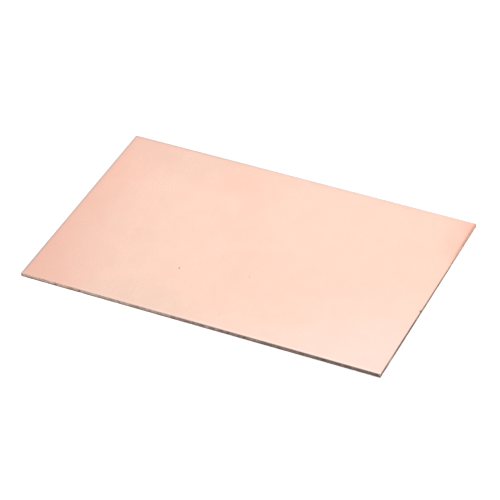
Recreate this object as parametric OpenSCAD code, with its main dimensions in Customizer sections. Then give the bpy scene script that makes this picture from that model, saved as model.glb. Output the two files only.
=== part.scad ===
// Blank copper clad board: one sheet of glass-epoxy laminate with a copper foil
// bonded to its upper face, cut to size on a guillotine shear.
// Origin at the centre of the underside, X along the length, Y along the width, Z up.
// All sizes are in millimetres.

/* [Board] */
// Length of the board, along X
board_length = 150; // [100:1:450]
// Width of the board, along Y
board_width = 100; // [60:1:300]
// Thickness of the laminate under the foil
laminate_thickness = 1.565; // [0.765:0.05:3.165]
// Thickness of the copper foil
foil_thickness = 0.035; // [0.018:0.001:0.105]

/* [Sheared rim] */
// How far in from the cut edge the shear bends the face down
draw_width = 0.35; // [0.1:0.05:0.8]
// How far the face is drawn down at the cut edge
draw_depth = 0.06; // [0.02:0.01:0.12]

/* [Cut face] */
// Share of the laminate's thickness that the blade cuts before the rest breaks off
land_share = 0.4; // [0.2:0.05:0.7]
// Slope of the broken-off part of the cut face, in degrees
break_angle = 2; // [1:0.5:8]

/* [Rim chips] */
// Length of the largest chip along the rim
chip_length = 1; // [0.4:0.1:2]
// Depth of the largest chip, in from the cut edge
chip_depth = 0.35; // [0.1:0.05:0.6]
// Distance from the front right corner to the large chip in the right edge
right_chip_from_front = 40.4; // [5:0.2:50]
// Distance from the back right corner to the small chip in the right edge
right_chip_from_back = 14.3; // [2:0.1:40]
// Distance from the front right corner to the small chip in the front edge
front_chip_from_right = 47; // [2:1:80]
// Size of the small chips, as a share of the largest one
small_chip_share = 0.6; // [0.3:0.1:0.9]

/* [Hidden] */
$fn = 48;
FOIL_COLOUR = [0.93, 0.66, 0.54];
LAMINATE_COLOUR = [0.52, 0.49, 0.40];
board_thickness = laminate_thickness + foil_thickness;
// Radius of the arc that runs level into the face and reaches draw_depth at the cut edge
draw_radius = (draw_width * draw_width + draw_depth * draw_depth) / (2 * draw_depth);
land_height = laminate_thickness * land_share;
break_height = laminate_thickness - land_height;
break_setback = break_height * tan(break_angle);
// Radius of the ball that scoops out the largest chip, and how far outside the edge its centre lies
chip_radius = (chip_length * chip_length / 4 + chip_depth * chip_depth) / (2 * chip_depth);
chip_overhang = chip_radius - chip_depth;

// Section of the cut sheet across one direction: a vertical land above a broken-off slope
module cut_section(span) {
    half = span / 2;
    polygon([
        [-half + break_setback, 0],
        [half - break_setback, 0],
        [half, break_height],
        [half, laminate_thickness],
        [-half, laminate_thickness],
        [-half, break_height],
    ]);
}

// What the shear draws away from one upper rim, between the old square corner and the arc
module drawn_corner(span) {
    translate([span / 2 - draw_width, laminate_thickness - draw_radius])
        difference() {
            square([draw_width * 2, draw_radius * 2]);
            circle(r = draw_radius);
        }
}

// Section of the laminate across one direction, with both upper rims drawn down
module rim_section(span) {
    difference() {
        cut_section(span);
        drawn_corner(span);
        mirror([1, 0])
            drawn_corner(span);
    }
}

// The laminate before any chip: one section carried along X and one along Y, and what they share
module laminate_blank() {
    intersection() {
        rotate([90, 0, 0])
            linear_extrude(height = board_width * 2, center = true)
                rim_section(board_length);
        rotate([90, 0, 90])
            linear_extrude(height = board_length * 2, center = true)
                rim_section(board_width);
    }
}

// A shallow scoop out of the upper rim, as large as scale_by of the largest chip
module rim_chip(scale_by) {
    translate([chip_overhang * scale_by, 0, 0])
        scale(scale_by)
            sphere(r = chip_radius);
}

// Chips at their places: one large and one small on the right edge, one small on the front edge
module rim_chips() {
    translate([board_length / 2, -board_width / 2 + right_chip_from_front, board_thickness])
        rim_chip(1);
    translate([board_length / 2, board_width / 2 - right_chip_from_back, board_thickness])
        rim_chip(small_chip_share);
    translate([board_length / 2 - front_chip_from_right, -board_width / 2, board_thickness])
        rotate(-90)
            rim_chip(small_chip_share);
}

module laminate() {
    color(LAMINATE_COLOUR)
        difference() {
            laminate_blank();
            rim_chips();
        }
}

// The foil follows the laminate's face down over the rim and ends flush with the cut
module copper_foil() {
    color(FOIL_COLOUR)
        difference() {
            translate([0, 0, foil_thickness])
                laminate_blank();
            laminate_blank();
            rim_chips();
        }
}

laminate();
copper_foil();
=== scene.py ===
"""Looks of a blank copper clad board lying copper side up on a white ground.

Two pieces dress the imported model: the sheared laminate sheet and the copper foil on it. Each
is one closed surface, worked out as rings round the board's four sides.
"""
import logging
import math
from dataclasses import dataclass
from enum import Enum

import bpy
import numpy as np
from mathutils import Matrix, Vector


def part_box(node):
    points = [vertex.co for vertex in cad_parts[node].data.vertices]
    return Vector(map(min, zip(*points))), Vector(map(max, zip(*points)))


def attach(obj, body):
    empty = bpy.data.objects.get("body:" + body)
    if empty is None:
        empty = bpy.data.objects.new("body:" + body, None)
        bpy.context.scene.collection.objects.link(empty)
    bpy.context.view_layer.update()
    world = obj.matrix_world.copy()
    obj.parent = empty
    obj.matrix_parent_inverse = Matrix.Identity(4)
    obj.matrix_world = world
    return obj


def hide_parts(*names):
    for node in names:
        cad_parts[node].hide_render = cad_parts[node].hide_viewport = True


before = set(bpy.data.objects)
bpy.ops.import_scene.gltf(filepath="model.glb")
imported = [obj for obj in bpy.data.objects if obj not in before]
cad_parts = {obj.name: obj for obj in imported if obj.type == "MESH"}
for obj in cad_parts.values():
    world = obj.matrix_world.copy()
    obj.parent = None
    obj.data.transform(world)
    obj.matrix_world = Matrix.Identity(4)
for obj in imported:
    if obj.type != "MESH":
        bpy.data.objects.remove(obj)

LOG = logging.getLogger("copper_clad_board")
MM = 0.001
BODY = "root"

# Pitches of the glass weave, in millimetres
WARP_PITCH = 0.58
WEFT_PITCH = 0.79

Socket = bpy.types.NodeSocket
Value = Socket | float | tuple[float, ...]
Triple = tuple[float, float, float]
Colour = Triple

# A smooth step: where it starts and ends, and what it puts out at both ends
Fade = tuple[float, float, float, float]

# A noise: its scale in features per millimetre, its detail and its roughness
Texture = Triple


class Side(Enum):
    """One side of the board, in the order that the rings run round it, seen from above."""

    FRONT = 0
    RIGHT = 1
    BACK = 2
    LEFT = 3


class Ray(Enum):
    """Kinds of ray that a shader can tell apart."""

    CAMERA = "Is Camera Ray"
    GLOSSY = "Is Glossy Ray"
    TRANSMISSION = "Is Transmission Ray"


# Numbers on surfaces


def smoothstep(value: np.ndarray) -> np.ndarray:
    """Ease from 0 to 1: three squares less two cubes of the value, held to 0..1.

    Args:
        value: Any array.

    Returns:
        The eased array.
    """
    held = np.clip(value, 0.0, 1.0)
    return held * held * (3.0 - 2.0 * held)


@dataclass(frozen=True)
class Grain:
    """A random field over the cut faces: the size of its lattice's cells, and its seed."""

    cell_along: float
    cell_up: float
    seed: int

    def over(self, along: np.ndarray, up: np.ndarray, period: float) -> np.ndarray:
        """Smooth random field from 0 to 1 that joins up after one lap.

        Random numbers stand at the corners of a lattice, and each point blends its cell's four
        corners by smoothsteps of its place in the cell.

        Args:
            along: Distance round the board.
            up: Height above the underside.
            period: Length of one lap.

        Returns:
            An array of the same shape as along.
        """
        laps = max(int(round(period / self.cell_along)), 1)
        u = along / period * laps
        v = up / self.cell_up
        i = np.floor(u).astype(int)
        j = np.floor(v).astype(int)
        lattice = np.random.default_rng(self.seed).random((laps, int(j.max()) + 2))
        fu = smoothstep(u - i)
        fv = smoothstep(v - j)
        low = lattice[i % laps, j] * (1 - fu) + lattice[(i + 1) % laps, j] * fu
        high = lattice[i % laps, j + 1] * (1 - fu) + lattice[(i + 1) % laps, j + 1] * fu
        return low * (1 - fv) + high * fv


@dataclass(frozen=True)
class Outline:
    """The board's rectangle, cut into columns that every ring shares."""

    length: float
    width: float
    long_columns: int = 768
    short_columns: int = 512

    @property
    def lap(self) -> float:
        """Length of one lap round the board."""
        return 2 * (self.length + self.width)

    @property
    def starts(self) -> tuple[float, float, float, float]:
        """Distance round the board at which each side starts, in the order of Side."""
        return 0.0, self.length, self.length + self.width, 2 * self.length + self.width

    def columns(self, step: int) -> tuple[np.ndarray, np.ndarray]:
        """Points of the unit square's border, from the front left corner, anticlockwise.

        Each side runs evenly from its corner to the next.

        Args:
            step: Only every step-th column is kept.

        Returns:
            The points' u and v, each from -1 to 1.
        """
        long_run = np.arange(0, self.long_columns, step) / self.long_columns * 2 - 1
        short_run = np.arange(0, self.short_columns, step) / self.short_columns * 2 - 1
        u = np.concatenate([long_run, np.ones_like(short_run), -long_run, -np.ones_like(short_run)])
        v = np.concatenate([-np.ones_like(long_run), short_run, np.ones_like(long_run), -short_run])
        return u, v

    def ring(self, inset: np.ndarray | float, step: int = 1) -> tuple[np.ndarray, np.ndarray]:
        """A ring inside the outline: the unit border times the half sides less the inset.

        Args:
            inset: Distance in from the outline, for all columns or each one.
            step: Only every step-th column is kept.

        Returns:
            The ring's x and y.
        """
        u, v = self.columns(step)
        return u * (self.length / 2 - inset), v * (self.width / 2 - inset)

    def along(self) -> np.ndarray:
        """Distance of each column from the front left corner, round the board.

        Returns:
            One distance a column.
        """
        long_run = np.arange(self.long_columns) / self.long_columns * self.length
        short_run = np.arange(self.short_columns) / self.short_columns * self.width
        runs = (long_run, short_run, long_run, short_run)
        return np.concatenate([start + run for start, run in zip(self.starts, runs)])


@dataclass(frozen=True)
class RimChip:
    """A shallow scoop out of the upper rim: part of a ball whose centre lies outside the edge."""

    side: Side
    place: float
    length: float
    depth: float

    def inset(self, outline: Outline, along: np.ndarray, below: np.ndarray) -> np.ndarray:
        """How far the scoop reaches in: the ball's half chord less its centre's overhang.

        Args:
            outline: The board's outline.
            along: Distance round the board.
            below: Depth under the copper's face.

        Returns:
            The inset, 0 outside the scoop.
        """
        radius = (self.length ** 2 / 4 + self.depth ** 2) / (2 * self.depth)
        away = along - outline.starts[self.side.value] - self.place
        chord = np.sqrt(np.maximum(radius ** 2 - away ** 2 - below ** 2, 0.0))
        return np.maximum(chord - (radius - self.depth), 0.0)


@dataclass(frozen=True)
class TornRelief:
    """Depths and grains of the fine relief on the cut."""

    wander: float = 0.4 * MM
    wander_grain: Grain = Grain(2.4 * MM, MM, 11)
    break_onset: float = 0.14 * MM
    scratch_depth: float = 0.010 * MM
    scratch_grain: Grain = Grain(0.4 * MM, 1.2 * MM, 12)
    lump_depth: float = 0.035 * MM
    lump_grains: tuple[tuple[float, Grain], ...] = (
        (0.5, Grain(1.6 * MM, 0.5 * MM, 13)),
        (0.3, Grain(0.8 * MM, 0.3 * MM, 14)),
        (0.2, Grain(0.4 * MM, 0.2 * MM, 15)),
    )
    ledge_depth: float = 0.012 * MM
    ledge_grain: Grain = Grain(2.0 * MM, 0.2 * MM, 16)
    bundle_depth: float = 0.006 * MM
    pit_depth: float = 0.05 * MM
    pit_grain: Grain = Grain(0.6 * MM, 0.25 * MM, 17)
    pit_from: float = 0.74
    bite_depth: float = 0.07 * MM
    bite_grain: Grain = Grain(0.9 * MM, 3.0 * MM, 18)
    bite_from: float = 0.72
    bite_height: float = 0.2 * MM
    hole_onset: float = 0.2
    chip_least: float = 0.85
    chip_spread: float = 0.3
    chip_grain: Grain = Grain(0.5 * MM, 0.3 * MM, 61)
    tooth_depth: float = 0.012 * MM
    tooth_grain: Grain = Grain(0.4 * MM, MM, 21)
    wave_depth: float = 0.010 * MM
    wave_grain: Grain = Grain(3.0 * MM, MM, 22)


@dataclass(frozen=True)
class ShearedEdge:
    """The cut the guillotine left, from the foil's rim down to the underside."""

    outline: Outline
    thickness: float
    foil: float
    draw_width: float = 0.35 * MM
    draw_depth: float = 0.06 * MM
    land_share: float = 0.4
    break_angle: float = math.radians(2.0)
    plies: int = 8
    bundle_pitch: float = WARP_PITCH * MM
    relief: TornRelief = TornRelief()
    chips: tuple[RimChip, ...] = ()

    @property
    def top(self) -> float:
        """Height of the copper's level face."""
        return self.thickness + self.foil

    def face_drop(self, inset: np.ndarray | float) -> np.ndarray | float:
        """How far the face is drawn down at an inset: a circle's arc that starts level.

        Args:
            inset: Distance in from the outline.

        Returns:
            The drop, 0 from the drawn width inwards.
        """
        radius = (self.draw_width ** 2 + self.draw_depth ** 2) / (2 * self.draw_depth)
        run = np.clip(self.draw_width - np.asarray(inset), 0.0, self.draw_width)
        return radius - np.sqrt(radius ** 2 - run ** 2)

    def chip_inset(self, along: np.ndarray, height: np.ndarray) -> np.ndarray:
        """The deepest of all the chips at each point, slightly ragged.

        Args:
            along: Distance round the board.
            height: Height above the underside.

        Returns:
            The inset, 0 outside the chips.
        """
        grain = self.relief.chip_grain.over(along, height, self.outline.lap)
        deepest = np.zeros(np.broadcast(along, height).shape)
        for chip in self.chips:
            deepest = np.maximum(deepest, chip.inset(self.outline, along, self.top - height))
        return deepest * (self.relief.chip_least + self.relief.chip_spread * grain)

    def wall_inset(self, along: np.ndarray, height: np.ndarray) -> np.ndarray:
        """Inset of the laminate's cut face: its slope plus its relief, and the chips.

        The land is nearly plumb, with shallow upright scratches. Under a wandering line the
        sheet broke off: there it slopes in, with torn lumps, a ledge at each ply, the ends of
        the glass bundles, pits, and bites out of the lower rim.

        Args:
            along: Distance round the board.
            height: Height above the underside.

        Returns:
            The inset at each point, never negative.
        """
        relief = self.relief

        def over(grain: Grain) -> np.ndarray:
            """A grain's value at each point."""
            return grain.over(along, height, self.outline.lap)

        def holes(grain: Grain, start: float) -> np.ndarray:
            """Where a grain passes a value: 0 there and 1 from the onset on."""
            return smoothstep((over(grain) - start) / relief.hole_onset)

        land_foot = self.thickness * (1 - self.land_share)
        wander = relief.wander * (relief.wander_grain.over(along, height * 0, self.outline.lap) - 0.5)
        broken = smoothstep((land_foot + wander - height) / relief.break_onset)
        slope = np.maximum(land_foot - height, 0.0) * math.tan(self.break_angle)
        lumps = relief.lump_depth * sum(share * over(grain) for share, grain in relief.lump_grains)
        ply = height / self.thickness * self.plies
        crest = 1 - np.abs(2 * (ply - np.floor(ply)) - 1)
        ledge = relief.ledge_depth * crest * over(relief.ledge_grain)
        phase = 2 * math.pi * along / self.bundle_pitch + math.pi * np.floor(ply)
        bundles = relief.bundle_depth * (0.5 + 0.5 * np.cos(phase))
        pits = relief.pit_depth * holes(relief.pit_grain, relief.pit_from)
        near_foot = smoothstep(1 - height / relief.bite_height)
        bites = relief.bite_depth * holes(relief.bite_grain, relief.bite_from) * near_foot
        scratches = relief.scratch_depth * over(relief.scratch_grain)
        torn = scratches + broken * (lumps + ledge + bundles + pits + bites)
        return np.maximum(slope + torn, self.chip_inset(along, height))

    def foil_inset(self, along: np.ndarray, height: np.ndarray) -> np.ndarray:
        """Inset of the foil's cut end: a finely toothed line and the chips.

        Args:
            along: Distance round the board.
            height: Height above the underside.

        Returns:
            The inset of each column.
        """
        relief, lap = self.relief, self.outline.lap
        teeth = relief.tooth_depth * relief.tooth_grain.over(along, height * 0, lap)
        waves = relief.wave_depth * relief.wave_grain.over(along, height * 0, lap)
        return np.maximum(teeth + waves, self.chip_inset(along, height))


# Meshes


def add_object(name: str, data: bpy.types.ID) -> bpy.types.Object:
    """Makes an object at the origin.

    Args:
        name: Name of the object.
        data: Its mesh, lamp or camera.

    Returns:
        The new object, linked to the scene.
    """
    made = bpy.data.objects.new(name, data)
    bpy.context.scene.collection.objects.link(made)
    return made


class SkinBuilder:
    """Collects rings of points and joins each to the next, into one closed surface.

    Rings come in the order underside, wall, top. They run anticlockwise seen from above, so
    every face points out of the sheet.
    """

    def __init__(self, outline: Outline) -> None:
        """Starts with no points and no faces.

        Args:
            outline: The outline that the rings follow.
        """
        self.outline = outline
        self.points: list[np.ndarray] = []
        self.faces: list[tuple[np.ndarray, int]] = []
        self.count = 0

    def add_points(self, x: np.ndarray, y: np.ndarray, z: np.ndarray | float) -> np.ndarray:
        """Stores points.

        Args:
            x: Their x.
            y: Their y.
            z: Their height, for all or each one.

        Returns:
            Their indices, in the shape of x.
        """
        heights = np.broadcast_to(z, x.shape)
        self.points.append(np.stack([x, y, heights], axis=-1).reshape(-1, 3))
        indices = self.count + np.arange(x.size)
        self.count += x.size
        return indices.reshape(x.shape)

    def add_ring(self, inset: np.ndarray | float, z: np.ndarray | float, step: int = 1) -> np.ndarray:
        """Stores one ring and returns its indices."""
        x, y = self.outline.ring(inset, step)
        return self.add_points(x, y, z)

    def join(self, before: np.ndarray, after: np.ndarray, slot: int) -> None:
        """Joins two rings: with quads, or with three triangles a step where one is coarser.

        Args:
            before: The ring that comes first.
            after: The ring that comes next, with as many columns, half or twice as many.
            slot: Material slot of the faces.
        """
        if before.size == after.size:
            corners = (before, np.roll(before, -1), np.roll(after, -1), after)
            self.faces.append((np.stack(corners, axis=-1), slot))
            return
        going_in = before.size > after.size
        fine, coarse = (before, after) if going_in else (after, before)
        first, middle = fine[0::2], fine[1::2]
        last, coarse_next = np.roll(first, -1), np.roll(coarse, -1)
        for corners in ((first, middle, coarse), (middle, coarse_next, coarse), (middle, last, coarse_next)):
            ordered = corners if going_in else corners[::-1]
            self.faces.append((np.stack(ordered, axis=-1), slot))

    def close(self, ring: np.ndarray, step: int, z: float, faces_up: bool) -> None:
        """Fills the innermost ring with an even grid whose border is the ring itself.

        Args:
            ring: Indices of the innermost ring.
            step: Step of its columns.
            z: Height of the grid.
            faces_up: Whether the grid faces up.
        """
        nx = self.outline.long_columns // step
        ny = self.outline.short_columns // step
        border = np.concatenate(self.points)[ring]
        low, high = border.min(axis=0), border.max(axis=0)
        xs = np.linspace(low[0], high[0], nx + 1)[1:-1]
        ys = np.linspace(low[1], high[1], ny + 1)[1:-1]
        grid_x, grid_y = np.meshgrid(xs, ys)
        grid = np.zeros((ny + 1, nx + 1), int)
        grid[1:-1, 1:-1] = self.add_points(grid_x, grid_y, z)
        grid[0, :-1] = ring[:nx]
        grid[:-1, -1] = ring[nx:nx + ny]
        grid[-1, :0:-1] = ring[nx + ny:2 * nx + ny]
        grid[:0:-1, 0] = ring[2 * nx + ny:]
        corners = [grid[:-1, :-1], grid[:-1, 1:], grid[1:, 1:], grid[1:, :-1]]
        ordered = corners if faces_up else corners[::-1]
        self.faces.append((np.stack(ordered, axis=-1).reshape(-1, 4), 0))

    def skin_over(self, rings: list[tuple[np.ndarray, int]], step: int, low: float, high: float) -> None:
        """Joins rings in their order and fills the first and the last with the first material.

        Args:
            rings: Each ring, with the material slot of the faces from it to the next.
            step: Step of the columns of the first and the last ring.
            low: Height of the first ring.
            high: Height of the last ring.
        """
        for (before, slot), (after, _) in zip(rings, rings[1:]):
            self.join(before, after, slot)
        self.close(rings[0][0], step, low, False)
        self.close(rings[-1][0], step, high, True)

    def make_object(self, name: str, materials: list[bpy.types.Material],
                    sharp_degrees: float) -> bpy.types.Object:
        """Makes the mesh object, with its quads before its triangles.

        Args:
            name: Name of the object.
            materials: One material for each slot used.
            sharp_degrees: Edges that turn more than this stay sharp.

        Returns:
            The new object, linked to the scene.
        """
        points = np.concatenate(self.points)
        faces = sorted(self.faces, key=lambda part: -part[0].shape[-1])
        corners = np.concatenate([face.ravel() for face, _ in faces])
        sizes = np.concatenate([np.full(len(face), face.shape[-1]) for face, _ in faces])
        slots = np.concatenate([np.full(len(face), slot) for face, slot in faces])
        mesh = bpy.data.meshes.new(name)
        mesh.vertices.add(len(points))
        mesh.vertices.foreach_set("co", points.ravel())
        mesh.loops.add(len(corners))
        mesh.loops.foreach_set("vertex_index", corners)
        mesh.polygons.add(len(sizes))
        mesh.polygons.foreach_set("loop_start", np.cumsum(sizes) - sizes)
        mesh.polygons.foreach_set("material_index", slots)
        mesh.update(calc_edges=True)
        mesh.validate()
        for material in materials:
            mesh.materials.append(material)
        mesh.shade_smooth()
        mesh.set_sharp_from_angle(angle=math.radians(sharp_degrees))
        return add_object(name, mesh)


@dataclass(frozen=True)
class RingPlan:
    """Where the rings stand on a face: even columns near the rim, then ever coarser inwards."""

    fitted: float = 0.75 * MM
    rim_rows: tuple[float, ...] = (
        0.0, 0.06 * MM, 0.13 * MM, 0.21 * MM, 0.28 * MM, 0.35 * MM, 0.5 * MM, 0.75 * MM,
    )
    coarser: tuple[float, ...] = (1.1 * MM, 1.8 * MM, 3.2 * MM, 6.0 * MM, 12.0 * MM)

    @property
    def last_step(self) -> int:
        """Column step of the innermost ring."""
        return 2 ** len(self.coarser)

    def fitted_inset(self, edge_inset: np.ndarray, row: float) -> np.ndarray:
        """A rim row's inset: spread evenly between the ragged edge and the last fitted row."""
        return edge_inset + (self.fitted - edge_inset) * row / self.fitted

    def coarse_rings(self) -> list[tuple[float, int]]:
        """Inset and column step of each coarser ring, from the rim inwards."""
        return [(inset, 2 ** (k + 1)) for k, inset in enumerate(self.coarser)]


@dataclass(frozen=True)
class LaminateSheet:
    """The sheet of glass-epoxy laminate: level faces and a torn, sloping cut all round."""

    edge: ShearedEdge
    plan: RingPlan
    face_material: bpy.types.Material
    cut_material: bpy.types.Material
    foot_shares: tuple[float, ...] = (0.0, 0.02, 0.05)
    break_rows: int = 10
    land_rows: int = 7
    sharp_degrees: float = 50.0
    face_slot: int = 0
    cut_slot: int = 1

    def wall_shares(self) -> np.ndarray:
        """Height shares of the cut face's rows below its rim, closer together at the foot.

        Returns:
            The shares, rising from 0.
        """
        land_foot = 1 - self.edge.land_share
        broken = np.linspace(self.foot_shares[-1], land_foot, self.break_rows + 1)[1:]
        land = np.linspace(land_foot, 1.0, self.land_rows + 1)[1:-1]
        return np.concatenate([self.foot_shares, broken, land])

    def build(self) -> bpy.types.Object:
        """Makes the sheet as one closed surface: underside, cut face, upper face.

        Returns:
            The sheet's object.
        """
        edge, plan = self.edge, self.plan
        along = edge.outline.along()
        skin = SkinBuilder(edge.outline)
        foot_inset = edge.wall_inset(along, np.zeros_like(along))
        rim_height = edge.thickness - edge.face_drop(0.0)
        rim_inset = edge.wall_inset(along, np.full_like(along, rim_height))
        rings: list[tuple[np.ndarray, int]] = []
        for inset, step in reversed(plan.coarse_rings()):
            rings.append((skin.add_ring(inset, 0.0, step), self.face_slot))
        for row in (plan.fitted, plan.fitted / 2):
            rings.append((skin.add_ring(plan.fitted_inset(foot_inset, row), 0.0), self.face_slot))
        for share in self.wall_shares():
            height = np.full_like(along, share * rim_height)
            rings.append((skin.add_ring(edge.wall_inset(along, height), height), self.cut_slot))
        for row in plan.rim_rows:
            inset = plan.fitted_inset(rim_inset, row)
            rings.append((skin.add_ring(inset, edge.thickness - edge.face_drop(inset)), self.face_slot))
        for inset, step in plan.coarse_rings():
            rings.append((skin.add_ring(inset, edge.thickness, step), self.face_slot))
        skin.skin_over(rings, plan.last_step, 0.0, edge.thickness)
        materials = [self.face_material, self.cut_material]
        return skin.make_object("laminate_sheet", materials, self.sharp_degrees)


@dataclass(frozen=True)
class CopperFoil:
    """The foil: a thin skin that follows the laminate's face down over the rim."""

    edge: ShearedEdge
    plan: RingPlan
    material: bpy.types.Material
    sharp_degrees: float = 40.0

    def build(self) -> bpy.types.Object:
        """Makes the foil as one closed surface: bonded side, cut end, bare side.

        Returns:
            The foil's object.
        """
        edge, plan = self.edge, self.plan
        along = edge.outline.along()
        skin = SkinBuilder(edge.outline)
        edge_inset = edge.foil_inset(along, np.full_like(along, edge.top - edge.face_drop(0.0)))
        insets = [plan.fitted_inset(edge_inset, row) for row in plan.rim_rows]
        rings: list[np.ndarray] = []
        for inset, step in reversed(plan.coarse_rings()):
            rings.append(skin.add_ring(inset, edge.thickness, step))
        for inset in reversed(insets):
            rings.append(skin.add_ring(inset, edge.thickness - edge.face_drop(inset)))
        for inset in insets:
            rings.append(skin.add_ring(inset, edge.top - edge.face_drop(inset)))
        for inset, step in plan.coarse_rings():
            rings.append(skin.add_ring(inset, edge.top, step))
        skin.skin_over([(ring, 0) for ring in rings], plan.last_step, edge.thickness, edge.top)
        return skin.make_object("copper_face", [self.material], self.sharp_degrees)


# Shader building


class Wiring:
    """Adds nodes to one tree. Every input may be a number, a tuple or another node's socket."""

    def __init__(self, tree: bpy.types.NodeTree) -> None:
        """Takes the tree that the nodes go into."""
        self.tree = tree

    def node(self, kind: str, inputs: dict[str | int, Value] | None = None,
             **settings: object) -> bpy.types.Node:
        """Adds a node.

        Args:
            kind: The node's type.
            inputs: Values or sockets, by the input's name or number.
            **settings: Attributes of the node.

        Returns:
            The node.
        """
        made = self.tree.nodes.new(kind)
        for key, setting in settings.items():
            setattr(made, key, setting)
        for key, value in (inputs or {}).items():
            self.plug(made.inputs[key], value)
        return made

    def plug(self, socket: Socket, value: Value) -> None:
        """Links a socket, or sets a plain value.

        Args:
            socket: The input to fill.
            value: The socket to link, a number, or a tuple. A colour may leave out its alpha.
        """
        if isinstance(value, Socket):
            self.tree.links.new(value, socket)
        elif isinstance(value, tuple) and socket.type == "RGBA" and len(value) == 3:
            socket.default_value = (*value, 1.0)
        else:
            socket.default_value = value

    def math(self, operation: str, *values: Value) -> Socket:
        """A Math node's output."""
        return self.node("ShaderNodeMath", dict(enumerate(values)), operation=operation).outputs[0]

    def plus(self, first: Value, second: Value) -> Socket:
        """The sum of two numbers."""
        return self.math("ADD", first, second)

    def minus(self, first: Value, second: Value) -> Socket:
        """The first number less the second."""
        return self.math("SUBTRACT", first, second)

    def times(self, first: Value, second: Value) -> Socket:
        """The product of two numbers."""
        return self.math("MULTIPLY", first, second)

    def over(self, first: Value, second: Value) -> Socket:
        """The first number divided by the second."""
        return self.math("DIVIDE", first, second)

    def vector(self, operation: str, *values: Value) -> Socket:
        """A Vector Math node's vector output."""
        made = self.node("ShaderNodeVectorMath", dict(enumerate(values)), operation=operation)
        return made.outputs["Vector"]

    def parts(self, vector: Socket) -> tuple[Socket, Socket, Socket]:
        """A vector's x, y and z."""
        made = self.node("ShaderNodeSeparateXYZ", {0: vector})
        return made.outputs[0], made.outputs[1], made.outputs[2]

    def noise(self, vector: Socket, scale: float, detail: float, roughness: float,
              output: int = 0) -> Socket:
        """A noise texture.

        Args:
            vector: Coordinates.
            scale: Features per unit of the coordinates.
            detail: How many finer layers are added.
            roughness: How strong each finer layer is.
            output: 0 for the value, from 0 to 1 about 0.5, or 1 for three such values.

        Returns:
            The output.
        """
        made = self.node("ShaderNodeTexNoise", {
            "Vector": vector, "Scale": scale, "Detail": detail, "Roughness": roughness,
        })
        return made.outputs[output]

    def ramp(self, value: Socket, low: float, high: float, to_low: float = 0.0,
             to_high: float = 1.0) -> Socket:
        """A smooth step.

        Args:
            value: What it runs over.
            low: Where it starts.
            high: Where it ends.
            to_low: What it puts out at its start.
            to_high: What it puts out at its end.

        Returns:
            Its output.
        """
        made = self.node("ShaderNodeMapRange", {
            "Value": value, "From Min": low, "From Max": high, "To Min": to_low, "To Max": to_high,
        }, interpolation_type="SMOOTHSTEP")
        return made.outputs[0]

    def mix(self, share: Value, first: Value, second: Value) -> Socket:
        """A mix of two colours."""
        inputs = {"Factor": share, 6: first, 7: second}
        return self.node("ShaderNodeMix", inputs, data_type="RGBA").outputs[2]

    def between(self, share: Value, first: Value, second: Value) -> Socket:
        """A mix of two numbers."""
        return self.node("ShaderNodeMix", {"Factor": share, 2: first, 3: second}).outputs[0]

    def greatest(self, *values: Socket) -> Socket:
        """The greatest of some numbers.

        Args:
            *values: Two or more sockets.

        Returns:
            The greatest of them.
        """
        most = values[0]
        for value in values[1:]:
            most = self.math("MAXIMUM", most, value)
        return most

    def bump(self, height: Socket, distance: float, strength: float = 1.0,
             on: Socket | None = None) -> Socket:
        """A normal bumped by a height.

        Args:
            height: The height, from 0 to 1.
            distance: How far a height of 1 stands up.
            strength: Share of the effect.
            on: The normal under it, where there is one.

        Returns:
            The bumped normal.
        """
        inputs = {"Height": height, "Distance": distance, "Strength": strength}
        if on is not None:
            inputs["Normal"] = on
        return self.node("ShaderNodeBump", inputs).outputs[0]

    def rays(self) -> tuple[Socket, ...]:
        """Whether a ray is of each kind, in the order of Ray."""
        path = self.node("ShaderNodeLightPath")
        return tuple(path.outputs[ray.value] for ray in Ray)

    def object_mm(self) -> Socket:
        """Object coordinates in millimetres."""
        made = self.node("ShaderNodeTexCoord")
        return self.vector("MULTIPLY", made.outputs["Object"], (1 / MM, 1 / MM, 1 / MM))

    def use(self, group: bpy.types.NodeTree, **inputs: Value) -> bpy.types.Node:
        """Places a node group. An input's name has _ for a space."""
        named = {key.replace("_", " "): value for key, value in inputs.items()}
        return self.node("ShaderNodeGroup", named, node_tree=group)


def fresh_wiring(owner: bpy.types.Material | bpy.types.World) -> Wiring:
    """Clears the nodes of a material or world.

    Args:
        owner: What the nodes belong to.

    Returns:
        The wiring of the empty tree.
    """
    owner.use_nodes = True
    owner.node_tree.nodes.clear()
    return Wiring(owner.node_tree)


VECTOR = "NodeSocketVector"
FLOAT = "NodeSocketFloat"


def new_group(name: str, inputs: dict[str, str],
              outputs: tuple[str, ...]) -> tuple[bpy.types.NodeTree, Wiring, dict[str, Socket]]:
    """Starts a shader node group.

    Args:
        name: Name of the group.
        inputs: Socket kind of each input, by name.
        outputs: Name of each output. All of them are numbers.

    Returns:
        The group, its wiring, and its input sockets by name.
    """
    group = bpy.data.node_groups.new(name, "ShaderNodeTree")
    for label, kind in inputs.items():
        group.interface.new_socket(label, in_out="INPUT", socket_type=kind)
    for label in outputs:
        group.interface.new_socket(label, in_out="OUTPUT", socket_type=FLOAT)
    wiring = Wiring(group)
    entry = wiring.node("NodeGroupInput")
    return group, wiring, {label: entry.outputs[label] for label in inputs}


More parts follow.
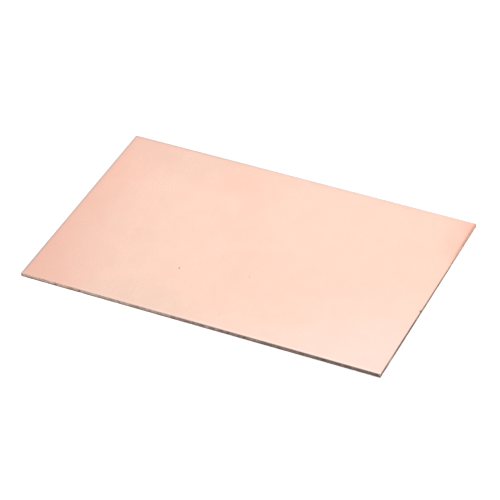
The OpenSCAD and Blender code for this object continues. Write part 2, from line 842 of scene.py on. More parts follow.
class Effects:
    """The shader node groups that the finishes share, each built once."""

    crossing_half_width: float = 0.25
    mark_core: float = 0.2
    streak_noise: Texture = (1.0, 3.0, 0.5)

    def __init__(self) -> None:
        """Builds the groups."""
        self.weave = self._weave()
        self.mark = self._mark()
        self.rim = self._rim()
        self.streaks = self._streaks()

    def _weave(self) -> bpy.types.NodeTree:
        """Plain weave of glass bundles.

        Each bundle's crown is a sine along its pitch. Whether warp or weft lies on top swaps
        with every crossing, by the sign of the product of the two half-pitch sines.

        Returns:
            The group.
        """
        inputs = {"Vector": VECTOR, "Warp pitch": FLOAT, "Weft pitch": FLOAT}
        group, w, given = new_group("Glass weave", inputs, ("Height", "Warp on top"))
        x, y, _ = w.parts(given["Vector"])
        across = w.math("SINE", w.times(w.over(x, given["Warp pitch"]), math.pi))
        down = w.math("SINE", w.times(w.over(y, given["Weft pitch"]), math.pi))
        on_top = w.ramp(w.times(across, down), -self.crossing_half_width, self.crossing_half_width)
        warp = w.times(w.math("ABSOLUTE", across), on_top)
        weft = w.times(w.math("ABSOLUTE", down), w.minus(1.0, on_top))
        w.node("NodeGroupOutput", {"Height": w.plus(warp, weft), "Warp on top": on_top})
        return group

    def _mark(self) -> bpy.types.NodeTree:
        """A soft round spot: 1 near its centre, 0 from one radius out, in each direction.

        Returns:
            The group.
        """
        places = {"Vector": VECTOR, "Centre": VECTOR, "Radii": VECTOR}
        group, w, given = new_group("Mark", places, ("Mask",))
        away = w.vector("DIVIDE", w.vector("SUBTRACT", given["Vector"], given["Centre"]), given["Radii"])
        length = w.node("ShaderNodeVectorMath", {0: away}, operation="LENGTH").outputs["Value"]
        w.node("NodeGroupOutput", {"Mask": w.ramp(length, 1.0, self.mark_core)})
        return group

    def _rim(self) -> bpy.types.NodeTree:
        """Distance in from the nearest side: the lesser of the two half sides less |x| and |y|.

        Returns:
            The group.
        """
        inputs = {"Vector": VECTOR, "Half length": FLOAT, "Half width": FLOAT}
        group, w, given = new_group("Rim distance", inputs, ("Distance",))
        x, y, _ = w.parts(given["Vector"])
        from_end = w.minus(given["Half length"], w.math("ABSOLUTE", x))
        from_side = w.minus(given["Half width"], w.math("ABSOLUTE", y))
        w.node("NodeGroupOutput", {"Distance": w.math("MINIMUM", from_end, from_side)})
        return group

    def _streaks(self) -> bpy.types.NodeTree:
        """Fine lines along one direction: noise stretched by a different factor on each axis.

        Returns:
            The group.
        """
        group, w, given = new_group("Streaks", {"Vector": VECTOR, "Stretch": VECTOR}, ("Value",))
        stretched = w.vector("MULTIPLY", given["Vector"], given["Stretch"])
        w.node("NodeGroupOutput", {"Value": w.noise(stretched, *self.streak_noise)})
        return group


@dataclass(frozen=True)
class Spot:
    """A soft round mark at its place on the board, in millimetres."""

    centre: Triple
    radii: Triple
    strength: float


Spots = tuple[Spot, ...]

# Where the marked faces are, in millimetres
COPPER_FACE = 1.6
RIGHT_CUT = 75.0
FRONT_CUT = -50.0

# How far marks of each kind reach off their face, in millimetres
PATCH_REACH = 9.0
SPECK_REACH = 1.0
CUT_REACH = 2.0


def on_face(x: float, y: float, long: float, wide: float, strength: float) -> Spot:
    """A broad patch of the copper's face, by its place and its radii along x and y."""
    return Spot((x, y, COPPER_FACE), (long, wide, PATCH_REACH), strength)


def speck_at(x: float, y: float, long: float, wide: float, strength: float) -> Spot:
    """A small mark on the copper's face, by its place and its radii along x and y."""
    return Spot((x, y, COPPER_FACE), (long, wide, SPECK_REACH), strength)


def on_front(x: float, z: float, long: float, high: float, strength: float) -> Spot:
    """A mark on the front cut, by its place and its radii along x and z."""
    return Spot((x, FRONT_CUT, z), (long, CUT_REACH, high), strength)


def on_right(y: float, z: float, long: float, high: float, strength: float) -> Spot:
    """A mark on the right cut, by its place and its radii along y and z."""
    return Spot((RIGHT_CUT, y, z), (CUT_REACH, long, high), strength)


class Coat:
    """A material under way: its wiring, its coordinates in millimetres and its colour so far."""

    def __init__(self, name: str, effects: Effects, colour: Colour) -> None:
        """Starts a material with a Principled shader.

        Args:
            name: Name of the material.
            effects: The shared groups.
            colour: The colour under all others.
        """
        self.effects = effects
        self.material = bpy.data.materials.new(name)
        self.w = fresh_wiring(self.material)
        self.shader = self.w.node("ShaderNodeBsdfPrincipled")
        self.w.node("ShaderNodeOutputMaterial", {"Surface": self.shader.outputs[0]})
        self.mm = self.w.object_mm()
        self.colour: Value = colour

    def noise(self, texture: Texture, output: int = 0) -> Socket:
        """A noise over the piece."""
        return self.w.noise(self.mm, *texture, output=output)

    def weave(self, vector: Socket) -> bpy.types.Node:
        """The glass weave at some coordinates."""
        return self.w.use(self.effects.weave, Vector=vector, Warp_pitch=WARP_PITCH, Weft_pitch=WEFT_PITCH)

    def tint(self, share: Value, colour: Value) -> None:
        """Mixes a colour over the colour so far."""
        self.colour = self.w.mix(share, self.colour, colour)

    def mark(self, colour: Colour, spots: Spots, vector: Socket | None = None) -> None:
        """Lays marks of one colour over the colour so far.

        Args:
            colour: The marks' colour.
            spots: Where they lie.
            vector: Coordinates, where they aren't the plain ones.
        """
        at = self.mm if vector is None else vector
        for spot in spots:
            mark = self.w.use(self.effects.mark, Vector=at, Centre=spot.centre, Radii=spot.radii)
            self.tint(self.w.times(mark.outputs["Mask"], spot.strength), colour)

    def finish(self, roughness: Socket, normal: Socket, metallic: Value) -> bpy.types.Material:
        """Gives the shader its colour and the rest.

        Args:
            roughness: The roughness.
            normal: The bumped normal.
            metallic: Share of bare metal.

        Returns:
            The material.
        """
        looks = {"Base Color": self.colour, "Roughness": roughness, "Normal": normal, "Metallic": metallic}
        for name, value in looks.items():
            self.w.plug(self.shader.inputs[name], value)
        return self.material


@dataclass(frozen=True)
class SatinCopper:
    """Bare rolled foil: fine grain across the board, faint weave under it, tarnish at the rim.

    The fades named rim run in from a side, and those named run go along it, in millimetres.
    """

    outline: Outline
    bright: Colour = (0.955, 0.648, 0.532)
    tarnish: Colour = (0.95, 0.545, 0.435)
    warm: Colour = (0.94, 0.58, 0.46)
    pale: Colour = (0.94, 0.71, 0.625)
    # Painted shade along the left rim, and painted reflection (greyer copper) along the back rim towards the
    # right
    far_rim_shade: Colour = (0.50, 0.37, 0.34)
    far_rim_reflection: Colour = (0.66, 0.67, 0.66)
    reddened: Colour = (0.60, 0.335, 0.245)
    flush: Colour = (0.97, 0.47, 0.33)
    dull: Colour = (0.80, 0.62, 0.51)
    # Painted highlight along the front rim
    front_rim_highlight: Colour = (0.97, 0.82, 0.76)
    # Dark burr at the foil's cut end, with painted shade on top of it
    burr_and_shade: Colour = (0.26, 0.17, 0.13)
    speck: Colour = (0.30, 0.20, 0.16)
    grain_stretch: Triple = (6.0, 0.15, 6.0)
    cloud_noise: Texture = (0.035, 3.0, 0.5)
    cloud_fade: Fade = (0.5, 0.8, 0.0, 0.10)
    smudge_noise: Texture = (0.11, 4.0, 0.6)
    drift_noise: Texture = (0.06, 4.0, 0.6)
    drift: Triple = (22.0, 22.0, 0.0)
    ragged_noise: Texture = (0.35, 3.0, 0.5)
    ragged: float = 3.0
    shelter_slope: float = 0.55
    shelter_fade: Fade = (-25.0, 0.0, 0.0, 1.0)
    tarnish_rim: Fade = (4.4, 1.4, 0.0, 0.45)
    far_shade_rim: Fade = (1.25, 0.40, 0.0, 1.0)
    far_shade_lip_rim: Fade = (0.45, 0.05, 1.0, 1.8)
    far_shade_run: Fade = (-45.0, -5.0, 0.52, 0.33)
    far_reflection_run: Fade = (-50.0, 10.0, 0.0, 1.0)
    reddened_rim: Fade = (0.95, 0.15, 0.0, 1.0)
    reddened_run: Fade = (16.0, 38.0, 0.0, 0.85)
    front_highlight_rim: Fade = (2.0, 0.3, 0.0, 1.0)
    front_highlight_run: Fade = (-75.0, 60.0, 0.15, 0.74)
    front_burr_shade_rim: Fade = (0.42, 0.12, 0.0, 1.0)
    front_burr_shade_run: Fade = (-50.0, 50.0, 0.05, 0.88)
    right_burr_shade_rim: Fade = (0.26, 0.06, 0.0, 1.0)
    right_burr_shade_run: Fade = (25.0, -50.0, 0.0, 0.5)
    grain_roughness: Fade = (0.3, 0.7, 0.25, 0.30)
    smudge_roughness: Fade = (0.35, 0.7, 0.0, 0.05)
    tarnish_roughness: float = 0.12
    metallic: float = 1.0
    weave_depth: float = 0.0008 * MM
    grain_depth: float = 0.0004 * MM
    tarnished_places: Spots = (
        on_face(-80.0, -50.0, 42.0, 48.0, 0.75),
        on_face(-84.0, 0.0, 34.0, 90.0, 0.70),
        on_face(79.0, 56.0, 22.0, 46.0, 0.85),
        on_face(-68.0, 52.0, 52.0, 34.0, 0.48),
    )
    warm_places: Spots = (
        on_face(-20.0, 42.0, 26.0, 24.0, 0.50),
        on_face(-9.0, 16.0, 11.0, 22.0, 0.25),
        on_face(-1.0, -14.0, 15.0, 26.0, 0.25),
        on_face(-52.0, -2.0, 20.0, 60.0, 0.15),
    )
    # Painted highlight: whiter copper over the front right corner and along the front towards the right
    painted_highlight_places: Spots = (
        on_face(72.0, -50.0, 58.0, 56.0, 0.85),
        on_face(26.0, -52.0, 44.0, 18.0, 0.35),
    )
    dull_places: Spots = (
        on_face(-22.0, -47.0, 30.0, 18.0, 0.30),
        on_face(-52.0, 50.0, 48.0, 26.0, 0.28),
        on_face(8.0, 50.0, 18.0, 16.0, 0.25),
    )
    flushed_places: Spots = (on_face(75.5, 45.0, 2.7, 12.0, 0.70),)
    specks: Spots = (
        speck_at(-20.2, -22.7, 0.40, 0.85, 0.95),
        speck_at(6.9, -16.6, 0.50, 1.2, 0.22),
        speck_at(-45.6, -6.7, 0.5, 0.7, 0.12),
        speck_at(-26.6, 3.1, 0.5, 0.7, 0.12),
        speck_at(53.4, 15.8, 0.5, 0.9, 0.10),
        speck_at(50.0, 2.7, 0.5, 0.9, 0.10),
        speck_at(-3.9, -40.4, 0.5, 0.5, 0.10),
        speck_at(6.0, -42.6, 0.5, 0.9, 0.12),
        speck_at(44.9, -46.7, 0.5, 0.5, 0.15),
        # Painted shade in the large chip on the right rim
        speck_at(74.8, -9.9, 0.45, 0.8, 0.60),
    )

    def build(self, effects: Effects) -> bpy.types.Material:
        """Makes the material.

        Args:
            effects: The shared groups.

        Returns:
            The material.
        """
        coat = Coat("satin_copper", effects, self.bright)
        w = coat.w
        self._patches(coat)
        tarnish = self._rims(coat)
        coat.mark(self.speck, self.specks)
        grain = w.use(effects.streaks, Vector=coat.mm, Stretch=self.grain_stretch).outputs["Value"]
        smudges = w.ramp(coat.noise(self.smudge_noise), *self.smudge_roughness)
        rough = w.plus(w.ramp(grain, *self.grain_roughness), smudges)
        rough = w.plus(rough, w.times(tarnish, self.tarnish_roughness))
        print_through = w.bump(coat.weave(coat.mm).outputs["Height"], self.weave_depth)
        return coat.finish(rough, w.bump(grain, self.grain_depth, on=print_through), self.metallic)

    def _patches(self, coat: Coat) -> None:
        """Broad soft patches of other tints, with edges that drift; the pale patches are painted highlight.

        Args:
            coat: The material under way.
        """
        w = coat.w
        centred = w.vector("SUBTRACT", coat.noise(self.drift_noise, output=1), (0.5, 0.5, 0.5))
        drifted = w.vector("ADD", coat.mm, w.vector("MULTIPLY", centred, self.drift))
        coat.tint(w.ramp(coat.noise(self.cloud_noise), *self.cloud_fade), self.warm)
        coat.mark(self.pale, self.painted_highlight_places, drifted)
        coat.mark(self.warm, self.warm_places, drifted)
        coat.mark(self.tarnish, self.tarnished_places, drifted)
        coat.mark(self.dull, self.dull_places, drifted)
        coat.mark(self.flush, self.flushed_places)

    def _rims(self, coat: Coat) -> Socket:
        """Tarnish along the rims towards the back left, painted shade along the left rim and painted
        reflection along the back rim, a painted highlight along the front rim, redder copper along the right
        rim towards the back, and dark burrs with painted shade towards the front right corner.

        Args:
            coat: The material under way.

        Returns:
            How much the tarnish covers.
        """
        w = coat.w
        x, y, _ = w.parts(coat.mm)
        half_length = self.outline.length / 2 / MM
        half_width = self.outline.width / 2 / MM
        rim = w.use(coat.effects.rim, Vector=coat.mm, Half_length=half_length, Half_width=half_width)
        ragged = w.plus(rim.outputs["Distance"], w.times(coat.noise(self.ragged_noise), self.ragged))
        sheltered = w.ramp(w.minus(y, w.times(x, self.shelter_slope)), *self.shelter_fade)
        tarnish = w.times(w.ramp(ragged, *self.tarnish_rim), sheltered)
        from_front = w.plus(y, half_width)
        from_right = w.minus(half_length, x)
        # Painted shade along the left and back rims, turning into painted reflection towards the right along
        # the back rim
        from_far = w.math("MINIMUM", w.plus(x, half_length), w.minus(half_width, y))
        far_rim = w.times(w.ramp(from_far, *self.far_shade_rim), w.ramp(from_far, *self.far_shade_lip_rim))
        far_rim_shade = w.times(w.times(far_rim, sheltered), w.ramp(y, *self.far_shade_run))
        far_rim_tint = w.mix(w.ramp(x, *self.far_reflection_run), self.far_rim_shade, self.far_rim_reflection)
        # Redder, darker copper along the right rim towards the back
        reddened = w.times(w.ramp(from_right, *self.reddened_rim), w.ramp(y, *self.reddened_run))
        # Painted highlight along the front rim, growing brighter towards the right
        front_rim_highlight = w.times(w.ramp(from_front, *self.front_highlight_rim), w.ramp(x, *self.front_highlight_run))
        # Dark burr along the front and right rims, plus painted shade that grows towards the front right
        # corner
        front_burr_and_shade = w.times(w.ramp(from_front, *self.front_burr_shade_rim), w.ramp(x, *self.front_burr_shade_run))
        right_burr_and_shade = w.times(w.ramp(from_right, *self.right_burr_shade_rim), w.ramp(y, *self.right_burr_shade_run))
        coat.tint(tarnish, self.tarnish)
        coat.tint(far_rim_shade, far_rim_tint)
        coat.tint(reddened, self.reddened)
        coat.tint(front_rim_highlight, self.front_rim_highlight)
        coat.tint(w.greatest(front_burr_and_shade, right_burr_and_shade), self.burr_and_shade)
        return tarnish


@dataclass(frozen=True)
class LaminateFace:
    """Pressed face of the laminate: glass weave seen through clear resin."""

    resin: Colour = (0.40, 0.40, 0.25)
    glass: Colour = (0.58, 0.58, 0.42)
    cloud: Colour = (0.36, 0.35, 0.24)
    drift_noise: Texture = (0.05, 1.0, 0.5)
    drift: Triple = (0.8, 0.8, 0.0)
    glass_fade: Fade = (0.2, 1.0, 0.0, 1.0)
    warp_fade: Fade = (0.0, 1.0, 0.0, 0.18)
    cloud_noise: Texture = (0.06, 4.0, 0.5)
    cloud_fade: Fade = (0.3, 0.8, 0.0, 0.25)
    gloss_noise: Texture = (0.3, 4.0, 0.5)
    roughness: Fade = (0.3, 0.7, 0.32, 0.45)
    metallic: float = 0.0
    weave_depth: float = 0.006 * MM

    def build(self, effects: Effects) -> bpy.types.Material:
        """Makes the material.

        Args:
            effects: The shared groups.

        Returns:
            The material.
        """
        coat = Coat("laminate_face", effects, self.resin)
        w = coat.w
        drift = w.vector("MULTIPLY", coat.noise(self.drift_noise, output=1), self.drift)
        weave = coat.weave(w.vector("ADD", coat.mm, drift))
        height = weave.outputs["Height"]
        coat.tint(w.ramp(height, *self.glass_fade), self.glass)
        coat.tint(w.ramp(weave.outputs["Warp on top"], *self.warp_fade), self.glass)
        coat.tint(w.ramp(coat.noise(self.cloud_noise), *self.cloud_fade), self.cloud)
        roughness = w.ramp(coat.noise(self.gloss_noise), *self.roughness)
        return coat.finish(roughness, w.bump(height, self.weave_depth), self.metallic)


@dataclass(frozen=True)
class ShearedCut:
    """Sheared side of the laminate: cut glass bundles in resin, torn lumps and dragged copper. Its colours
    are darker than the laminate's face, partly from smear and dirt and partly as painted shade of the cut.

    Along the cut the coordinate is x plus y, which runs evenly on all four sides.
    """

    height: float
    plies: int
    bundle_pitch: float
    # Darker than bare glass-epoxy: partly dragged copper and dirt, partly painted shade of the cut faces
    resin: Colour = (0.27, 0.190, 0.160)
    base: Colour = (0.37, 0.262, 0.225)
    glass: Colour = (0.54, 0.42, 0.355)
    pale: Colour = (0.66, 0.53, 0.465)
    dark: Colour = (0.105, 0.075, 0.068)
    copper: Colour = (0.62, 0.385, 0.295)
    olive: Colour = (0.36, 0.33, 0.22)
    mauve: Colour = (0.24, 0.145, 0.18)
    # Painted shade: the dark colour of the foot and of the darkening towards the front right corner
    painted_shade: Colour = (0.125, 0.070, 0.050)
    reddened: Colour = (0.38, 0.215, 0.17)
    sway_noise: Texture = (0.8, 2.0, 0.5)
    sway: float = 0.5
    sway_up: float = 0.06
    lens_half_height: float = 0.42
    lens_half_length: float = 0.44
    lens_fade: Fade = (1.0, 0.35, 0.0, 1.0)
    lens_paleness: Fade = (0.0, 1.0, 0.25, 1.0)
    stain_noise: Texture = (0.22, 3.0, 0.6)
    lump_noise: Texture = (0.85, 3.0, 0.6)
    grit_noise: Texture = (2.6, 3.0, 0.6)
    base_stains: Fade = (0.60, 0.40, 0.10, 0.55)
    dark_stains: Fade = (0.48, 0.34, 0.0, 0.45)
    dark_lumps: Fade = (0.50, 0.32, 0.0, 0.85)
    pale_lumps: Fade = (0.50, 0.66, 0.0, 0.85)
    dark_grit: Fade = (0.46, 0.30, 0.0, 0.5)
    drag_stretch: Triple = (0.7, 0.7, 0.15)
    drag_noise: Texture = (1.0, 3.0, 0.6)
    drag_reach: Fade = (0.40, 0.72, 0.97, 0.55)
    drag_edge: Fade = (-0.03, 0.15, 0.0, 1.0)
    drag_kept: Fade = (-25.0, 75.0, 0.30, 0.0)
    drag_shine: float = 0.5
    drag_roughness: Fade = (0.0, 1.0, 0.78, 0.45)
    foot_shade_noise: Texture = (0.9, 4.0, 0.65)
    foot_shade_wander: float = 0.9
    foot_shade_fade: Fade = (0.52, 0.10, 0.0, 0.92)
    bump_noise: Texture = (6.0, 5.0, 0.7)
    bump_depth: float = 0.02 * MM
    bump_strength: float = 0.8
    pale_marks: Spots = (
        on_front(-73.6, 0.64, 1.2, 0.7, 0.4),
        on_front(-67.5, 0.88, 1.0, 0.6, 0.35),
        on_front(-64.0, 0.75, 3.0, 0.8, 0.40),
        on_front(-45.0, 0.80, 4.5, 1.3, 0.40),
        on_front(16.0, 0.75, 2.4, 1.3, 0.40),
        on_front(-28.0, 0.70, 34.0, 3.0, 0.20),
        on_front(-51.0, 1.20, 2.0, 0.5, 0.4),
        on_front(-17.0, 0.80, 0.9, 1.2, 0.5),
        on_right(32.0, 1.00, 6.0, 1.8, 0.50),
    )
    dark_marks: Spots = (
        on_front(-71.0, 0.30, 3.0, 0.6, 0.45),
        on_front(-59.9, 0.61, 1.2, 0.6, 0.7),
        on_front(-55.8, 0.30, 2.2, 0.6, 0.50),
        on_front(-49.5, 0.90, 0.8, 0.9, 0.8),
        on_front(-10.0, 0.30, 3.0, 0.5, 0.5),
        on_front(18.0, 1.10, 1.0, 0.5, 0.4),
        on_front(28.5, 1.25, 1.2, 0.5, 0.4),
        on_front(49.5, 0.80, 2.0, 1.2, 0.50),
        on_front(62.0, 1.00, 2.5, 0.9, 0.6),
        on_front(67.5, 0.90, 2.2, 1.0, 0.35),
        # Painted shade in the large chip on the right rim
        on_right(-9.7, 1.20, 1.0, 0.8, 0.85),
        # Painted shade at the near front right corner
        Spot((73.2, FRONT_CUT, 0.75), (2.6, 2.6, 1.1), 0.6),
        on_right(-26.0, 1.10, 2.0, 0.7, 0.6),
        on_right(-46.0, 0.90, 3.0, 0.9, 0.5),
        # Painted shade: the right cut darker over its front half, towards the near corner
        on_right(-40.0, 0.80, 40.0, 2.4, 0.35),
        on_front(10.0, 1.50, 120.0, 0.7, 0.30),
        on_right(-5.0, 0.60, 24.0, 1.0, 0.14),
        on_right(-28.0, 1.00, 7.0, 2.2, 0.95),
        on_right(-18.0, 1.00, 6.0, 2.2, 0.85),
        on_right(8.5, 1.00, 5.0, 2.0, 0.35),
        # Painted shade at the near front right corner
        Spot((74.2, FRONT_CUT, 0.55), (1.3, 1.3, 0.6), 0.90),
    )
    copper_marks: Spots = (
        on_front(-55.9, 0.70, 2.4, 1.3, 0.75),
        on_front(-68.5, 1.20, 1.6, 0.7, 0.5),
        on_front(-12.5, 0.90, 2.6, 0.9, 0.4),
        on_front(38.0, 1.00, 2.0, 0.7, 0.4),
        on_right(43.0, 1.40, 9.0, 1.6, 0.9),
        on_right(42.0, 1.70, 12.0, 1.0, 0.5),
        on_right(0.0, 1.20, 70.0, 2.4, 0.35),
        on_front(-75.0, 1.50, 45.0, 0.9, 0.12),
    )
    olive_marks: Spots = (
        on_front(-57.7, 0.57, 1.4, 0.8, 0.6),
        on_front(18.5, 0.50, 2.0, 0.6, 0.4),
        on_front(56.0, 0.50, 3.0, 0.7, 0.5),
        on_right(-33.0, 0.60, 3.0, 0.9, 0.5),
        on_right(12.0, 0.70, 9.0, 0.9, 0.3),
    )
    mauve_marks: Spots = (
        on_front(-3.5, 0.90, 2.6, 1.0, 0.55),
        on_front(-19.5, 0.90, 2.4, 0.8, 0.35),
        on_front(30.5, 0.80, 2.2, 0.8, 0.4),
        # Painted shade in the small chip near the back of the right rim
        on_right(35.7, 1.20, 2.4, 0.9, 0.35),
    )
    # Redder, darker top of the right cut towards the back
    reddened_places: Spots = (on_right(43.0, 1.75, 13.0, 1.1, 0.90),)
    # Painted shade: a broad darkening of the cut towards the front right corner
    painted_corner_shade: Spots = (Spot((80.0, -55.0, 0.8), (190.0, 125.0, 40.0), 0.35),)
    # Lightens the painted foot shade back towards the base colour near the right end of the front cut and at
    # the back of the right cut
    lighter_foot: Spots = (
        Spot((66.0, FRONT_CUT, 0.20), (46.0, 1.5, 0.6), 0.50),
        Spot((RIGHT_CUT, 42.0, 0.20), (1.5, 18.0, 0.8), 0.70),
    )
    worn_edges: Spots = (
        Spot((75.1, -50.1, 1.20), (1.1, 1.1, 0.8), 0.90),
        on_right(-39.5, 1.10, 5.0, 2.0, 0.55),
    )

    def build(self, effects: Effects) -> bpy.types.Material:
        """Makes the material.

        Args:
            effects: The shared groups.

        Returns:
            The material.
        """
        coat = Coat("laminate_cut", effects, self.resin)
        w = coat.w
        share = w.over(w.parts(coat.mm)[2], self.height / MM)
        self._plies(coat, share)
        self._mottle(coat)
        smear = self._dragged_copper(coat, share)
        coat.tint(smear, self.copper)
        coat.mark(self.pale, self.pale_marks)
        coat.mark(self.copper, self.copper_marks)
        coat.mark(self.reddened, self.reddened_places)
        coat.mark(self.olive, self.olive_marks)
        coat.mark(self.mauve, self.mauve_marks)
        coat.mark(self.dark, self.dark_marks)
        coat.mark(self.painted_shade, self.painted_corner_shade)
        # Painted shade: the cut darkens towards its foot, along a wandering line
        wander = w.times(w.minus(coat.noise(self.foot_shade_noise), 0.5), self.foot_shade_wander)
        coat.tint(w.ramp(w.plus(share, wander), *self.foot_shade_fade), self.painted_shade)
        coat.mark(self.base, self.lighter_foot)
        coat.mark(self.pale, self.worn_edges)
        normal = w.bump(coat.noise(self.bump_noise), self.bump_depth, self.bump_strength)
        return coat.finish(w.ramp(smear, *self.drag_roughness), normal, w.times(smear, self.drag_shine))

    def _plies(self, coat: Coat, share: Socket) -> None:
        """Cut ends of the glass bundles: in each ply a row of lenses, half a pitch on from the last.

        A lens is where the squares of the place along the pitch and of the place in the ply,
        each over its half size, add up to less than 1.

        Args:
            coat: The material under way.
            share: Share of the laminate's thickness.
        """
        w = coat.w
        x, y, _ = w.parts(coat.mm)
        sway = w.times(w.minus(coat.noise(self.sway_noise), 0.5), self.sway)
        ply = w.times(w.plus(share, w.times(sway, self.sway_up)), float(self.plies))
        index = w.math("FLOOR", ply)
        up = w.over(w.minus(w.math("FRACT", ply), 0.5), self.lens_half_height)
        pitches = w.over(w.plus(w.plus(x, y), sway), self.bundle_pitch / MM)
        turns = w.plus(pitches, w.times(index, 0.5))
        side = w.over(w.minus(w.math("FRACT", turns), 0.5), self.lens_half_length)
        squares = w.plus(w.times(side, side), w.times(up, up))
        cell = w.node("ShaderNodeCombineXYZ", {0: w.math("FLOOR", turns), 1: index}).outputs[0]
        chance = w.node("ShaderNodeTexWhiteNoise", {0: cell}).outputs["Value"]
        lens = w.times(w.ramp(squares, *self.lens_fade), w.ramp(chance, *self.lens_paleness))
        coat.tint(lens, self.glass)

    def _mottle(self, coat: Coat) -> None:
        """Blotches of three sizes over the cut: stains, torn lumps and grit.

        Args:
            coat: The material under way.
        """
        stains = coat.noise(self.stain_noise)
        lumps = coat.noise(self.lump_noise)
        grit = coat.noise(self.grit_noise)
        blotches = (
            (stains, self.base_stains, self.base),
            (stains, self.dark_stains, self.dark),
            (lumps, self.dark_lumps, self.dark),
            (lumps, self.pale_lumps, self.pale),
            (grit, self.dark_grit, self.dark),
        )
        for noise, fade, tint in blotches:
            coat.tint(coat.w.ramp(noise, *fade), tint)

    def _dragged_copper(self, coat: Coat, share: Socket) -> Socket:
        """Copper that the blade dragged down over the land: a thin band with streaks below it.

        Args:
            coat: The material under way.
            share: Share of the laminate's thickness.

        Returns:
            How much copper covers each point.
        """
        w = coat.w
        x, y, _ = w.parts(coat.mm)
        stretched = w.vector("MULTIPLY", coat.mm, self.drag_stretch)
        reach = w.ramp(w.noise(stretched, *self.drag_noise), *self.drag_reach)
        kept = w.ramp(w.minus(x, y), *self.drag_kept)
        return w.times(w.ramp(w.minus(share, reach), *self.drag_edge), kept)


# Ground, light and camera


@dataclass(frozen=True)
class Softbox:
    """A plain rectangular lamp that faces a point on or above the board."""

    name: str
    place: Triple
    target: Triple
    size: tuple[float, float]
    radiance: float
    mirrored: bool = True

    def build(self) -> None:
        """Makes the lamp. Its power is its radiance times its area times pi."""
        data = bpy.data.lights.new(self.name, "AREA")
        data.shape = "RECTANGLE"
        data.size, data.size_y = self.size
        data.energy = self.radiance * self.size[0] * self.size[1] * math.pi
        lamp = add_object(self.name, data)
        lamp.location = self.place
        aim = Vector(self.target) - Vector(self.place)
        lamp.rotation_euler = aim.to_track_quat("-Z", "Y").to_euler()
        lamp.visible_camera = False
        lamp.visible_glossy = self.mirrored


@dataclass(frozen=True)
class Studio:
    """White ground, white room and plain soft lamps."""

    ground_size: float = 4.0
    ground_drop: float = 0.02 * MM
    glow: float = 0.67
    paint_seen: float = 0.58
    paint_bounced: float = 0.25
    room_to_camera: float = 1.0
    room_to_gloss: float = 0.84
    horizon_to_gloss: float = 0.62
    gloss_full_from: float = 0.45
    room_to_matt: float = 0.60
    white: Colour = (1.0, 1.0, 1.0)
    lamps: tuple[Softbox, ...] = (
        Softbox("back_softbox", (0.0, 0.66, 0.52), (0.0, 0.0, 0.0), (0.86, 0.60), 0.31),
        Softbox("top_softbox", (0.0, -0.05, 0.90), (0.0, 0.0, 0.0), (0.80, 0.80), 0.30),
        Softbox("front_left_fill", (-0.068, -0.165, 0.05), (-0.04, -0.05, 0.0), (0.06, 0.06), 12.5, False),
        Softbox("right_back_fill", (0.185, 0.08, 0.05), (0.075, 0.04, 0.0), (0.06, 0.06), 15.0, False),
    )

    def build(self) -> None:
        """Makes the ground, the room and the lamps."""
        self._build_ground()
        self._build_room()
        for lamp in self.lamps:
            lamp.build()

    def _build_ground(self) -> None:
        """A flat square under the board: white to the eye, with the board's shadow on it."""
        half = self.ground_size / 2
        corners = [(-half, -half), (half, -half), (half, half), (-half, half)]
        mesh = bpy.data.meshes.new("white_ground")
        mesh.from_pydata([(x, y, -self.ground_drop) for x, y in corners], [], [(0, 1, 2, 3)])
        mesh.materials.append(self._ground_material())
        ground = add_object("white_ground", mesh)

    def _ground_material(self) -> bpy.types.Material:
        """Matt paint with a glow that only the camera and mirror-like rays see.

        Returns:
            The material.
        """
        material = bpy.data.materials.new("white_ground")
        w = fresh_wiring(material)
        camera, glossy, transmitted = w.rays()
        paint = w.between(camera, self.paint_bounced, self.paint_seen)
        matt = w.node("ShaderNodeBsdfDiffuse", {"Color": paint})
        strength = w.times(w.greatest(camera, glossy, transmitted), self.glow)
        glow = w.node("ShaderNodeEmission", {"Color": self.white, "Strength": strength})
        both = w.node("ShaderNodeAddShader", {0: matt.outputs[0], 1: glow.outputs[0]})
        w.node("ShaderNodeOutputMaterial", {"Surface": both.outputs[0]})
        return material

    def _build_room(self) -> None:
        """A white room: full white to the camera, a little less to metal and to matt surfaces."""
        world = bpy.data.worlds.new("white_room")
        w = fresh_wiring(world)
        camera, glossy, transmitted = w.rays()
        _, _, height = w.parts(w.node("ShaderNodeTexCoord").outputs["Generated"])
        mirrored = w.ramp(height, 0.0, self.gloss_full_from, self.horizon_to_gloss, self.room_to_gloss)
        level = w.between(w.greatest(glossy, transmitted), self.room_to_matt, mirrored)
        level = w.between(camera, level, self.room_to_camera)
        background = w.node("ShaderNodeBackground", {"Color": self.white, "Strength": level})
        w.node("ShaderNodeOutputWorld", {"Surface": background.outputs[0]})
        bpy.context.scene.world = world


@dataclass(frozen=True)
class PhotographCamera:
    """The photograph's camera: turned about the board, tilted down, with a slight roll."""

    yaw: float = math.radians(25.002)
    pitch: float = math.radians(37.881)
    roll: float = math.radians(-0.797)
    distance: float = 1.02158
    aside: float = -0.000446
    above: float = 0.000470
    focal_pixels: float = 2612.3
    frame_pixels: float = 500.0
    sensor_mm: float = 36.0

    def build(self) -> None:
        """Makes the scene's camera from its three turns and its distance to the underside's centre."""
        ahead = Vector((
            -math.sin(self.yaw) * math.cos(self.pitch),
            math.cos(self.yaw) * math.cos(self.pitch),
            -math.sin(self.pitch),
        ))
        level_right = Vector((math.cos(self.yaw), math.sin(self.yaw), 0.0))
        level_up = level_right.cross(ahead)
        right = math.cos(self.roll) * level_right + math.sin(self.roll) * level_up
        up = -math.sin(self.roll) * level_right + math.cos(self.roll) * level_up
        place = -self.distance * ahead + self.aside * right + self.above * up
        data = bpy.data.cameras.new("photograph_camera")
        data.sensor_width = self.sensor_mm
        data.lens = self.sensor_mm * self.focal_pixels / self.frame_pixels
        camera = add_object("photograph_camera", data)
        camera.matrix_world = Matrix.Translation(place) @ Matrix((right, up, -ahead)).transposed().to_4x4()
        bpy.context.scene.camera = camera


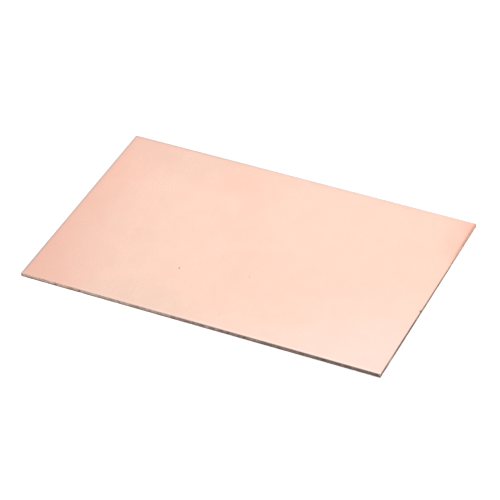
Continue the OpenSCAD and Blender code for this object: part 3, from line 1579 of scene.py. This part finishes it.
@dataclass(frozen=True)
class Board:
    """The whole board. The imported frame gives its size, and the chips are the source's."""

    large_chip: tuple[float, float] = (1.0 * MM, 0.35 * MM)
    small_chip: tuple[float, float] = (0.6 * MM, 0.21 * MM)
    right_chip_from_front: float = 40.4 * MM
    right_chip_from_back: float = 14.3 * MM
    front_chip_from_right: float = 47.0 * MM

    def sheared_edge(self) -> ShearedEdge:
        """Reads the sizes from the two nodes' boxes and places the rim chips.

        Returns:
            The cut, with its chips.
        """
        low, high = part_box("laminate")
        foil_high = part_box("copper_foil")[1]
        outline = Outline(high.x - low.x, high.y - low.y)
        chips = (
            RimChip(Side.RIGHT, self.right_chip_from_front, *self.large_chip),
            RimChip(Side.RIGHT, outline.width - self.right_chip_from_back, *self.small_chip),
            RimChip(Side.FRONT, outline.length - self.front_chip_from_right, *self.small_chip),
        )
        return ShearedEdge(outline, high.z, foil_high.z - high.z, chips=chips)

    def build(self) -> None:
        """Makes both pieces, dresses them and ties them to the frame."""
        edge = self.sheared_edge()
        plan = RingPlan()
        effects = Effects()
        face = LaminateFace().build(effects)
        cut = ShearedCut(edge.thickness, edge.plies, edge.bundle_pitch).build(effects)
        self._tie(LaminateSheet(edge, plan, face, cut).build(), "laminate")
        copper = SatinCopper(edge.outline).build(effects)
        self._tie(CopperFoil(edge, plan, copper).build(), "copper_foil")

    def _tie(self, piece: bpy.types.Object, node: str) -> None:
        """Rides a piece on the body in place of its node, and reports it.

        Args:
            piece: The piece.
            node: The node that it stands for.
        """
        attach(piece, BODY)
        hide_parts(node)
        triangles = sum(len(polygon.vertices) - 2 for polygon in piece.data.polygons)
        LOG.info("%s: %d triangles, stands for %s", piece.name, triangles, node)


def main() -> None:
    """Builds the camera, the board and the studio in order."""
    logging.basicConfig(level=logging.INFO, format="%(name)s: %(message)s")
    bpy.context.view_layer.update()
    bpy.context.scene.view_settings.view_transform = "Standard"
    PhotographCamera().build()
    Board().build()
    Studio().build()


if __name__ == "__main__":
    main()
